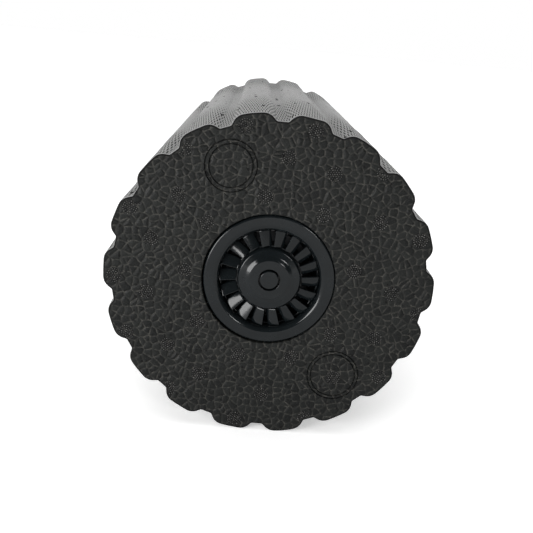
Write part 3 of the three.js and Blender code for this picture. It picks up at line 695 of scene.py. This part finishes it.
def groove_outline():
    """A groove and half the lobe on each side of it, with the groove straight up, as X and Z."""
    shoulder_centre = polar(BODY_RADIUS - SHOULDER_FILLET, 90 - SHOULDER_ANGLE)
    leans = np.linspace(-SHOULDER_ANGLE, FLANK_ANGLE, SHOULDER_STEPS + 1)
    shoulder = [shoulder_centre + polar(SHOULDER_FILLET, 90 + lean) for lean in leans]
    drop = shoulder[-1].y - GROOVE_FLOOR_RADIUS
    foot = Vector((shoulder[-1].x - drop / math.tan(math.radians(FLANK_ANGLE)), GROOVE_FLOOR_RADIUS))
    inset = FOOT_FILLET * math.tan(math.radians(FLANK_ANGLE / 2))
    foot_centre = foot + Vector((-inset, FOOT_FILLET))
    foot_turn = np.linspace(FLANK_ANGLE - 90, -90, FOOT_STEPS + 1)
    foot_arc = [foot_centre + polar(FOOT_FILLET, angle) for angle in foot_turn]
    lobe_turn = np.linspace(90 - 180 / LOBES, 90 - SHOULDER_ANGLE, LOBE_STEPS + 1)
    lobe = [polar(BODY_RADIUS, angle) for angle in lobe_turn[:-1]]
    right = lobe + shoulder + foot_arc
    left = [Vector((-p.x, p.y)) for p in reversed(right)]
    return np.array(right + left[:-1])


def body_outline():
    """The body's whole outline, and its outward normals, as two lists of X and Z."""
    groove = groove_outline()
    turns = []
    for i in range(LOBES):
        angle = math.radians(i * 360 / LOBES)
        turn = np.array([[math.cos(angle), math.sin(angle)], [-math.sin(angle), math.cos(angle)]])
        turns.append(groove @ turn)
    points = np.concatenate(turns)
    along = np.roll(points, -1, 0) - np.roll(points, 1, 0)
    normals = np.column_stack([along[:, 1], -along[:, 0]])
    return points, normals / np.linalg.norm(normals, axis=1)[:, None]


def swell(x, y, z):
    """How far the skin stands out at a place, from a smooth and fixed noise."""
    coarse = noise.noise(Vector((x, y * SWELL_STRETCH, z)) * SWELLS_PER_METRE)
    fine = noise.noise(Vector((x, y, z)) * RIPPLES_PER_METRE + RIPPLE_OFFSET)
    return SWELL_HEIGHT * (coarse + RIPPLE_SHARE * fine)


def body_ring(points, normals, y, inset):
    """The outline at a place along the roller, uneven like the moulded skin, drawn in by an inset."""
    out = np.array([swell(x, y, z) for x, z in points]) - inset
    ring = points + normals * out[:, None]
    return np.column_stack([ring[:, 0], np.full(len(ring), y), ring[:, 1]])


def side_rings():
    """The rings of the round side, from the front face over its rounded edge to the rear face."""
    points, normals = body_outline()
    edge = []
    for turn in np.radians(np.linspace(0, 90, EDGE_STEPS + 1)):
        inset = EDGE_FILLET * (1 - math.sin(turn))
        edge.append((HALF_LENGTH - EDGE_FILLET * (1 - math.cos(turn)), inset))
    stations = [(-y, inset) for y, inset in edge]
    reach = HALF_LENGTH - EDGE_FILLET
    stations += [(y, 0) for y in np.linspace(-reach, reach, SIDE_STEPS + 1)[1:-1]]
    stations += reversed(edge)
    return [body_ring(points, normals, y, inset) for y, inset in stations]


def recess_rings():
    """The rings of the bore, from the front face through its recess to the rear face."""
    half = []
    for turn in np.radians(np.linspace(0, 90, 5)):
        widened = RECESS_RADIUS + RECESS_FILLET * (1 - math.sin(turn))
        half.append((widened, HALF_LENGTH - RECESS_FILLET * (1 - math.cos(turn))))
    half.append((RECESS_RADIUS, HALF_LENGTH - RECESS_DEPTH))
    half.append((BORE_RADIUS, HALF_LENGTH - RECESS_DEPTH))
    stations = [(radius, -y) for radius, y in half] + list(reversed(half))
    return [circle(radius, BORE_SEGMENTS, y, (RECESS_SHIFT, 0)) for radius, y in stations]


def vent_places():
    """The centre of each nub of each steam vent, in rings round the vent's middle."""
    places = []
    for radius, angles in VENTS.items():
        for angle in angles:
            middle = polar(radius, angle)
            places.append(middle)
            for ring in range(1, VENT_RINGS + 1):
                for k in range(6 * ring):
                    places.append(middle + polar(ring * VENT_PITCH, angle + 60 * k / ring))
    return places


def clear_of_edges(place, points, normals):
    """Whether a nub fits: inside the body's outline, off the ejector marks' grooves and off the recess."""
    if place.length < RECESS_CLEARANCE:
        return False
    away = np.array(place) - points
    nearest = np.argmin(np.hypot(*away.T))
    if away[nearest] @ normals[nearest] > -OUTLINE_CLEARANCE:
        return False
    for centre_radius, angle, *rings in EJECTORS:
        distance = (place - polar(centre_radius, angle)).length
        if any(abs(distance - radius) < GROOVE_CLEARANCE for radius in rings):
            return False
    return True


def ejector_grooves(side):
    """Each groove of the ejector marks, as rows from its outer edge over its floor to its inner edge."""
    surface = side * HALF_LENGTH
    floor = surface - side * EJECTOR_GROOVE_DEPTH
    edge = EJECTOR_GROOVE_WIDTH / 2
    section = ((edge, surface), (edge / 4, floor), (-edge / 4, floor), (-edge, surface))
    grooves = []
    for centre_radius, angle, *rings in EJECTORS:
        centre = polar(centre_radius, angle)
        centre.x *= -side
        for radius in rings:
            grooves.append([circle(radius + reach, BORE_SEGMENTS, y, centre) for reach, y in section])
    return grooves


def vent_nub(side, centre):
    """One nub of a steam vent, as the rows of the moat round it and the rows of its dome."""
    surface = side * HALF_LENGTH
    dome = []
    for rise in NUB_RISES:
        top = surface + side * NUB_HEIGHT * math.sin(rise)
        dome.append(circle(NUB_RADIUS * math.cos(rise), NUB_SEGMENTS, top, centre))
    edge = circle(MOAT_RADIUS, NUB_SEGMENTS, surface, centre)
    bottom = circle(NUB_RADIUS, NUB_SEGMENTS, surface - side * MOAT_DEPTH, centre)
    return [edge, bottom, dome[0]], dome


def vent_nubs(side):
    """The nubs of an end's steam vents, without those that don't fit."""
    outline = body_outline()
    places = [place for place in vent_places() if clear_of_edges(place, *outline)]
    return [vent_nub(side, (place.x * -side, place.y)) for place in places]


def fill_face(bm, y, outline, recess, groove_edges, moat_edges):
    """The flat face: triangles inside the outline, outside the recess, and between grooves and nubs."""
    points, edges, faces = [], [], []
    for loop in (outline, recess, *groove_edges, *moat_edges):
        first = len(points)
        count = len(loop)
        points += [Vector((p[0], p[2])) / MM for p in loop]
        edges += [(first + i, first + (i + 1) % count) for i in range(count)]
        faces.append(list(range(first, first + count)))
    placed, _, triangles, _, _, owners_of = geometry.delaunay_2d_cdt(points, edges, faces, 0, 1e-5)
    verts = [bm.verts.new((p.x * MM, y, p.y * MM)) for p in placed]
    first_moat = 2 + len(groove_edges)
    for triangle, owners in zip(triangles, owners_of):
        # a triangle in a groove lies inside its outer edge and outside its inner one
        in_groove = sum(1 < owner < first_moat for owner in owners) % 2
        in_hole = 1 in owners or any(owner >= first_moat for owner in owners)
        if 0 in owners and not in_hole and not in_groove:
            bm.faces.new([verts[i] for i in triangle])


def make_end_face(bm, side, outline, recess):
    """One end face with its marks, at the front where side is -1 and at the rear where it is 1."""
    grooves = ejector_grooves(side)
    nubs = vent_nubs(side)
    groove_edges = [row for rows in grooves for row in (rows[0], rows[-1])]
    moat_edges = [moat[0] for moat, _ in nubs]
    fill_face(bm, side * HALF_LENGTH, outline, recess, groove_edges, moat_edges)
    for rows in grooves:
        loft(bm, rows, FACE)
    for moat, dome in nubs:
        loft(bm, moat, RIM)
        loft(bm, dome, NUB)


def make_foam_body(face_paint):
    bm = bmesh.new()
    sides, bore = side_rings(), recess_rings()
    loft(bm, sides[: RIM_STEPS + 1], RIM)
    loft(bm, sides[RIM_STEPS:-RIM_STEPS], SIDE)
    loft(bm, sides[-RIM_STEPS - 1 :], RIM)
    loft(bm, bore, FACE)
    make_end_face(bm, -1, sides[0], bore[0])
    make_end_face(bm, 1, sides[-1], bore[-1])
    paints = (face_paint, dotted_side_paint(), nub_paint(), rim_paint())
    piece = finish_mesh(bm, "bead_foam_body", *paints, crease=50, place=MIDDLE_FRAME)
    even_normals(piece)
    place_piece(piece, "roller", "bead_foam", "foam_body")


# ---------------------------------------------------------------- end caps


def make_bezel(end, gloss):
    outline = rounded([
        (CAP_OPENING_RADIUS, CAP_FACE_DEPTH, BEZEL_INNER_FILLET),
        (BEZEL_RADIUS, CAP_FACE_DEPTH, BEZEL_OUTER_FILLET),
        (BEZEL_RADIUS, BEZEL_RIM_DEPTH, FILLET),
        (BEZEL_NECK_RADIUS, BEZEL_RIM_DEPTH),
        (BEZEL_NECK_RADIUS, CAP_BACK_DEPTH, FILLET),
        (BEZEL_FLANGE_RADIUS, CAP_BACK_DEPTH, FILLET),
        (BEZEL_FLANGE_RADIUS, CAP_FLOOR_DEPTH, FILLET),
        (CAP_OPENING_RADIUS, CAP_FLOOR_DEPTH),
    ], steps=8)
    bm = bmesh.new()
    turned(bm, outline)
    piece = finish_mesh(bm, end + "_bezel_ring", gloss, place=END_FRAMES[end])
    even_normals(piece)
    place_piece(piece, "roller", "gloss_trim", end + "_bezel")


def vane_depth(fall):
    """How deep a blade's face lies: it falls away from its high edge, faster and faster."""
    return VANE_HIGH_DEPTH + VANE_DROP * ((1 - VANE_CURL) * fall + VANE_CURL * fall**2)


def vane_blade(bm, degrees):
    """One slanted blade. Its high edge is radial, and it falls away clockwise to a low edge."""
    along, across = 10, 14
    top, bottom = [], []
    for i in range(along + 1):
        outward = i / along
        radius = VANE_ROOT_RADIUS + (VANE_TIP_RADIUS - VANE_ROOT_RADIUS) * outward
        span = VANE_ROOT_SPAN + (VANE_TIP_SPAN - VANE_ROOT_SPAN) * outward
        row = []
        for k in range(across + 1):
            place = polar(radius, degrees - span * k / across)
            row.append((place.x, vane_depth(k / across), place.y))
        top.append(row)
        bottom.append([(x, depth + VANE_THICKNESS, z) for x, depth, z in row])
    loft(bm, top, closed=False)
    loft(bm, bottom, closed=False)
    for edge in (0, -1):
        strip(bm, top[edge], bottom[edge], closed=False)
        strip(bm, [row[edge] for row in top], [row[edge] for row in bottom], closed=False)


def soften_edges(bm, width, least_angle):
    """Rounds the edges where two faces meet at more than an angle."""
    weld(bm)
    least = math.radians(least_angle)
    sharp = [e for e in bm.edges if e.is_manifold and e.calc_face_angle() > least]
    bmesh.ops.bevel(
        bm, geom=sharp, offset=width, offset_type="OFFSET", segments=2, affect="EDGES", profile=0.5
    )


def vane_frame(bm):
    """The ring round the blades' tips, and the cup-shaped collar that carries their roots."""
    rim = rounded([
        (VANE_RIM_INNER_RADIUS, VANE_RIM_TOP, VANE_RIM_FILLET),
        (VANE_RIM_RADIUS, VANE_RIM_TOP, VANE_RIM_FILLET),
        (VANE_RIM_RADIUS, VANE_RIM_BOTTOM),
        (VANE_RIM_INNER_RADIUS, VANE_RIM_BOTTOM),
    ], steps=3)
    collar = rounded([
        (COLLAR_INNER_RADIUS, COLLAR_TOP, FILLET),
        (COLLAR_RADIUS, COLLAR_TOP, FILLET),
        (COLLAR_RADIUS, CAP_BACK_DEPTH, FILLET),
        (COLLAR_BORE_RADIUS, CAP_BACK_DEPTH, FILLET),
        (COLLAR_BORE_RADIUS, CAP_FLOOR_DEPTH, FILLET),
        (COLLAR_INNER_RADIUS, CAP_FLOOR_DEPTH, COLLAR_FLOOR_FILLET),
    ], steps=3)
    turned(bm, rim)
    turned(bm, collar)


def screw_hole(bm, degrees):
    """A rod through the collar's floor, to be cut away."""
    centre = polar(CAP_SCREW_CIRCLE, degrees)
    depths = (CAP_FLOOR_DEPTH - CUT_MARGIN, CAP_BACK_DEPTH + CUT_MARGIN)
    rows = [circle(CAP_SCREW_HOLE_RADIUS, HOLE_SEGMENTS, depth, centre) for depth in depths]
    caps = [np.repeat(row.mean(0)[None], HOLE_SEGMENTS, 0) for row in rows]
    loft(bm, [caps[0], *rows, caps[1]])


def make_vane_ring(end, gloss):
    bm = bmesh.new()
    vane_frame(bm)
    piece = finish_mesh(bm, end + "_vane_grille", gloss)
    bm = bmesh.new()
    for i in range(VANES):
        vane_blade(bm, VANE_PHASE + i * 360 / VANES)
    soften_edges(bm, VANE_BEVEL, VANE_SHARP_ANGLE)
    combine(piece, finish_mesh(bm, "blades", gloss), "UNION")
    bm = bmesh.new()
    for i in range(CAP_SCREWS):
        screw_hole(bm, 90 + i * 360 / CAP_SCREWS)
    combine(piece, finish_mesh(bm, "holes", gloss), "DIFFERENCE")
    piece.data.transform(END_FRAMES[end])
    piece.data.shade_smooth()
    piece.data.set_sharp_from_angle(angle=math.radians(38))
    even_normals(piece)
    place_piece(piece, "roller", "gloss_trim", end + "_vane_ring")


def make_hub(end, bore, gloss):
    outline = rounded([
        (bore, CAP_FACE_DEPTH, FINE_FILLET),
        *HUB_DOME,
        (HUB_RADIUS, HUB_LIP_DEPTH, FINE_FILLET),
        (HUB_SKIRT_RADIUS, HUB_LIP_DEPTH),
        (HUB_SKIRT_RADIUS, HUB_SKIRT_DEPTH, FINE_FILLET),
        (HUB_SKIRT_INNER_RADIUS, HUB_SKIRT_DEPTH, FINE_FILLET),
        (HUB_SKIRT_INNER_RADIUS, HUB_CROWN_DEPTH, HUB_CROWN_FILLET),
        (bore, HUB_CROWN_DEPTH, FINE_FILLET),
    ], steps=6)
    bm = bmesh.new()
    turned(bm, outline)
    piece = finish_mesh(bm, end + "_hub_dome", gloss, place=END_FRAMES[end])
    even_normals(piece)
    place_piece(piece, "roller", "gloss_trim", end + "_hub")


def make_button(gloss):
    outline = rounded([
        (0, BUTTON_FACE_DEPTH),
        (BUTTON_RADIUS, BUTTON_FACE_DEPTH, BUTTON_FACE_FILLET),
        (BUTTON_RADIUS, BUTTON_FLANGE_TOP, FINE_FILLET),
        (BUTTON_FLANGE_RADIUS, BUTTON_FLANGE_TOP, FINE_FILLET),
        (BUTTON_FLANGE_RADIUS, BUTTON_FLANGE_BOTTOM, FINE_FILLET),
        (BUTTON_STEM_RADIUS, BUTTON_FLANGE_BOTTOM, BUTTON_FACE_FILLET),
        (BUTTON_STEM_RADIUS, BUTTON_STEM_END, FILLET),
        (0, BUTTON_STEM_END),
    ])
    bm = bmesh.new()
    turned(bm, outline, KNOB_SEGMENTS)
    piece = finish_mesh(bm, "power_button_cap", gloss, place=END_FRAMES["front"])
    even_normals(piece)
    place_piece(piece, "power_button", "gloss_trim", "power_button")


def make_plug(rubber):
    """The rubber plug in the charging socket, with a finger lip round the dish in its head."""
    outline = rounded([
        (0, PLUG_DISH_DEPTH),
        (PLUG_DISH_RADIUS, PLUG_DISH_DEPTH, PLUG_DISH_FILLET),
        (PLUG_LIP_RADIUS, CAP_FACE_DEPTH, PLUG_HEAD_FILLET),
        (PLUG_HEAD_RADIUS, CAP_FACE_DEPTH, PLUG_HEAD_FILLET),
        (PLUG_HEAD_RADIUS, PLUG_HEAD_BOTTOM, FINE_FILLET),
        (PLUG_STEM_RADIUS, PLUG_HEAD_BOTTOM, FILLET),
        (PLUG_STEM_RADIUS, PLUG_STEM_END, FILLET),
        (PLUG_HOLLOW_RADIUS, PLUG_STEM_END, FINE_FILLET),
        (PLUG_HOLLOW_RADIUS, PLUG_HOLLOW_TOP),
        (0, PLUG_HOLLOW_TOP),
    ])
    bm = bmesh.new()
    turned(bm, outline, KNOB_SEGMENTS)
    piece = finish_mesh(bm, "charge_port_plug_cap", rubber, place=END_FRAMES["rear"])
    even_normals(piece)
    place_piece(piece, "charge_port_plug", "black_rubber", "charge_port_plug")


# ---------------------------------------------------------------- pieces inside the core


def paint_inner_nodes(paints):
    """Each CAD node that still shows gets the procedural material of its slot in the record."""
    slots = {part["node"]: part["material_slot"] for part in frame["record"]["subparts"]}
    for name, node in frame["nodes"].items():
        node.data.materials.clear()
        node.data.materials.append(paints[slots[name]])


# ---------------------------------------------------------------- the studio


def make_camera():
    azimuth, elevation, roll = (
        math.radians(a) for a in (CAMERA_AZIMUTH, CAMERA_ELEVATION, CAMERA_ROLL)
    )
    turn = (
        Matrix.Rotation(azimuth, 4, "Z")
        @ Matrix.Rotation(math.pi / 2 - elevation, 4, "X")
        @ Matrix.Rotation(roll, 4, "Z")
    )
    aside = Vector((-CAMERA_AIM[0], -CAMERA_AIM[1], 1)) * CAMERA_DISTANCE
    target = Matrix.Translation((0, -HALF_LENGTH, AXIS_HEIGHT))
    camera = bpy.data.objects.new("camera", bpy.data.cameras.new("camera"))
    camera.data.lens = CAMERA_LENS
    camera.data.clip_start = 0.01
    camera.matrix_world = target @ turn @ Matrix.Translation(aside)
    bpy.context.scene.collection.objects.link(camera)
    bpy.context.scene.camera = camera


def softbox(name, place, aim, size, power):
    light = bpy.data.objects.new(name, bpy.data.lights.new(name, "AREA"))
    light.data.shape = "RECTANGLE"
    light.data.size, light.data.size_y = size
    light.data.energy = power
    light.location = place
    light.rotation_euler = (Vector(aim) - Vector(place)).to_track_quat("-Z", "Y").to_euler()
    bpy.context.scene.collection.objects.link(light)


def make_lights():
    front = (0, -HALF_LENGTH, AXIS_HEIGHT)
    for name, (place, size, power) in SOFTBOXES.items():
        softbox(name, place, front, size, power)
    ceiling = bpy.data.objects.new("ceiling_light", bpy.data.lights.new("ceiling_light", "SUN"))
    ceiling.data.angle = math.radians(CEILING_ANGLE)
    ceiling.data.energy = CEILING_STRENGTH
    ceiling.visible_glossy = False
    bpy.context.scene.collection.objects.link(ceiling)


def make_world():
    """A studio: a bright backdrop behind the roller, and a dark room above the horizon in front of it.

    The camera itself sees plain white past the floor.
    """
    world = bpy.data.worlds.new("studio")
    bpy.context.scene.world = world
    world.use_nodes = True
    tree = world.node_tree
    tree.nodes.clear()
    direction = add(tree, "TexCoord").outputs["Generated"]
    parts = split(tree, direction)
    behind = remap(tree, parts["Y"], *BACKDROP_EDGE)
    above = remap(tree, parts["Z"], *HORIZON)
    room = mix(tree, above, grey(1.0), grey(ROOM_STRENGTH))
    colour = mix(tree, behind, room, grey(BACKDROP_STRENGTH))
    colour = mix(tree, add(tree, "LightPath").outputs["Is Camera Ray"], colour, grey(1.0))
    background = add(tree, "Background", {"Color": colour, "Strength": 1.0})
    output = tree.nodes.new("ShaderNodeOutputWorld")
    tree.links.new(background.outputs[0], output.inputs["Surface"])


def make_floor():
    """A large round floor, in rings that widen outwards."""
    bm = bmesh.new()
    radii = [0] + [FLOOR_FIRST_RADIUS * FLOOR_GROWTH**i for i in range(FLOOR_RINGS)]
    loft(bm, [circle(radius, FLOOR_SEGMENTS, 0) for radius in radii])
    bm.transform(Matrix.Rotation(math.pi / 2, 4, "X"))
    floor = finish_mesh(bm, "floor", floor_paint())


# ---------------------------------------------------------------- the scene

bpy.context.scene.view_settings.view_transform = "Standard"
make_camera()
make_world()
make_lights()
make_floor()
paints = make_paints()
paint_inner_nodes(paints)
make_foam_body(paints["bead_foam"])
for end, bore in (("front", BUTTON_BORE_RADIUS), ("rear", PLUG_BORE_RADIUS)):
    make_bezel(end, paints["gloss_trim"])
    make_vane_ring(end, paints["gloss_trim"])
    make_hub(end, bore, paints["gloss_trim"])
make_button(paints["gloss_trim"])
make_plug(paints["black_rubber"])
